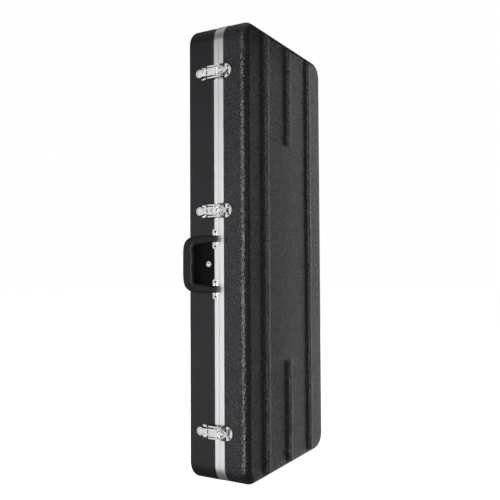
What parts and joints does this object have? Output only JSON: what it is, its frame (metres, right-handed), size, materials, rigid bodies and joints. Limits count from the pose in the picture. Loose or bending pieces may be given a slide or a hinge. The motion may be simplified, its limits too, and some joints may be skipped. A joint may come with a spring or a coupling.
{
  "type": "electric guitar case",
  "caption": "Rectangular moulded hard case with a hinged lid, draw latches, folding handle, aluminium valance and a padded well for an electric guitar.",
  "frame": {"origin": "middle of the lower end face, where the standing case rests", "axes": "+Z along the length towards the headstock end, +X out of the lid face, -Y out of the side with latches and handle"},
  "size_m": [0.166, 0.4508, 1.06],
  "materials": {
    "moulded_shell": "hair-cell grained moulded ABS, near black, low sheen",
    "valance": "lengthwise drawn satin extrusion with bright edges",
    "chrome": "polished nickel-chrome plate",
    "steel": "plain bright steel",
    "dark_steel": "zinc plated pressing",
    "handle_plastic": "moulded black plastic, fine satin grain",
    "plush": "short-pile black plush over foam",
    "webbing": "woven black tab"
  },
  "bodies": {
    "base": {"base_shell": "moulded_shell", "base_valance": "valance", "hinge_base_leaves": "steel", "hinge_pins": "steel", "hinge_base_rivets": "chrome", "latch_plates": "chrome", "latch_plate_rivets": "chrome", "lever_pins": "steel", "handle_brackets": "chrome", "bracket_rivets": "dark_steel", "handle_pins": "steel", "centre_rivet": "chrome", "floor_pad_base": "plush", "tail_block": "plush", "bout_pad_latch_side": "plush", "bout_pad_hinge_side": "plush", "neck_block_latch_side": "plush", "neck_block_hinge_side": "plush", "headstock_block": "plush", "neck_cradle": "plush", "compartment_tray": "plush", "compartment_strip": "plush"},
    "lid": {"lid_shell": "moulded_shell", "lid_valance": "valance", "hinge_lid_leaves": "steel", "hinge_lid_rivets": "chrome", "keeper_plates": "chrome", "keeper_rivets": "dark_steel", "lid_pad": "plush", "lid_lining": "plush"},
    "handle": {"handle_grip": "handle_plastic"},
    "lever_top": {"lever_top": "chrome", "claw_pins_top": "steel"},
    "claw_top": {"claw_top": "chrome"},
    "lever_middle": {"lever_middle": "chrome", "claw_pins_middle": "steel", "lock_barrel": "chrome"},
    "claw_middle": {"claw_middle": "chrome"},
    "lever_bottom": {"lever_bottom": "chrome", "claw_pins_bottom": "steel"},
    "claw_bottom": {"claw_bottom": "chrome"},
    "lock": {"lock_plug": "steel", "lock_cam": "dark_steel"},
    "compartment_lid": {"compartment_lid": "plush", "compartment_tab": "webbing"}
  },
  "joints": [
    {"name": "lid_hinge", "type": "hinge", "parent": "base", "child": "lid", "pos_m": [0.0072, 0.2146, 0.53], "axis": [0, 0, 1], "range_deg": [0, 100]},
    {"name": "handle_swing", "type": "hinge", "parent": "base", "child": "handle", "pos_m": [0, -0.219, 0.5], "axis": [0, 0, 1], "range_deg": [0, 160]},
    {"name": "compartment_hinge", "type": "hinge", "parent": "base", "child": "compartment_lid", "pos_m": [-0.0086, 0.1301, 0.695], "axis": [0, 0, 1], "range_deg": [0, 88]},
    {"name": "lever_top_pivot", "type": "hinge", "parent": "base", "child": "lever_top", "pos_m": [0.006, -0.2165, 0.943], "axis": [0, 0, 1], "range_deg": [0, 80]},
    {"name": "claw_top_pivot", "type": "hinge", "parent": "lever_top", "child": "claw_top", "pos_m": [-0.003, -0.2157, 0.943], "axis": [0, 0, 1], "range_deg": [-96, 0]},
    {"name": "lever_middle_pivot", "type": "hinge", "parent": "base", "child": "lever_middle", "pos_m": [0.006, -0.2165, 0.622], "axis": [0, 0, 1], "range_deg": [0, 80]},
    {"name": "claw_middle_pivot", "type": "hinge", "parent": "lever_middle", "child": "claw_middle", "pos_m": [-0.003, -0.2157, 0.622], "axis": [0, 0, 1], "range_deg": [-96, 0]},
    {"name": "lever_bottom_pivot", "type": "hinge", "parent": "base", "child": "lever_bottom", "pos_m": [0.006, -0.2165, 0.118], "axis": [0, 0, 1], "range_deg": [0, 80]},
    {"name": "claw_bottom_pivot", "type": "hinge", "parent": "lever_bottom", "child": "claw_bottom", "pos_m": [-0.003, -0.2157, 0.118], "axis": [0, 0, 1], "range_deg": [-96, 0]},
    {"name": "lock_turn", "type": "hinge", "parent": "lever_middle", "child": "lock", "pos_m": [-0.005, -0.219, 0.622], "axis": [0, -1, 0], "range_deg": [0, 90]}
  ],
  "couplings": [
    {"joint": "claw_top_pivot", "follows": "lever_top_pivot", "ratio": -1.18},
    {"joint": "claw_middle_pivot", "follows": "lever_middle_pivot", "ratio": -1.18},
    {"joint": "claw_bottom_pivot", "follows": "lever_bottom_pivot", "ratio": -1.18}
  ]
}
